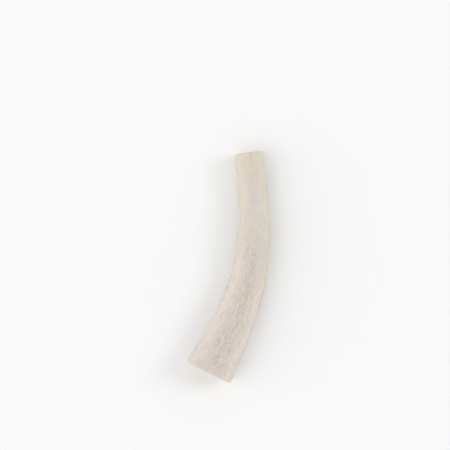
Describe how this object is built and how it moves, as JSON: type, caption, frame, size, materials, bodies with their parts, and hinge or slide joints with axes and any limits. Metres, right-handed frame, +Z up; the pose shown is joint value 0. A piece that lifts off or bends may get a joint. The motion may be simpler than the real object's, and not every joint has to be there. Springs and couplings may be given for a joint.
{
  "type": "deer antler",
  "caption": "Curved length of pale, cleaned deer antler beam that flares to one end, sawn square at both ends and lying on its side.",
  "frame": {"origin": "on the surface the antler lies on, under the middle of its outline box", "axes": "+Z up, away from the surface; +Y towards the narrow sawn end; +X towards the outer, bulging side of the bend"},
  "size_m": [0.0828, 0.2322, 0.032],
  "materials": {
    "antler": null
  },
  "bodies": {
    "root": {"antler": "antler"}
  },
  "joints": []
}
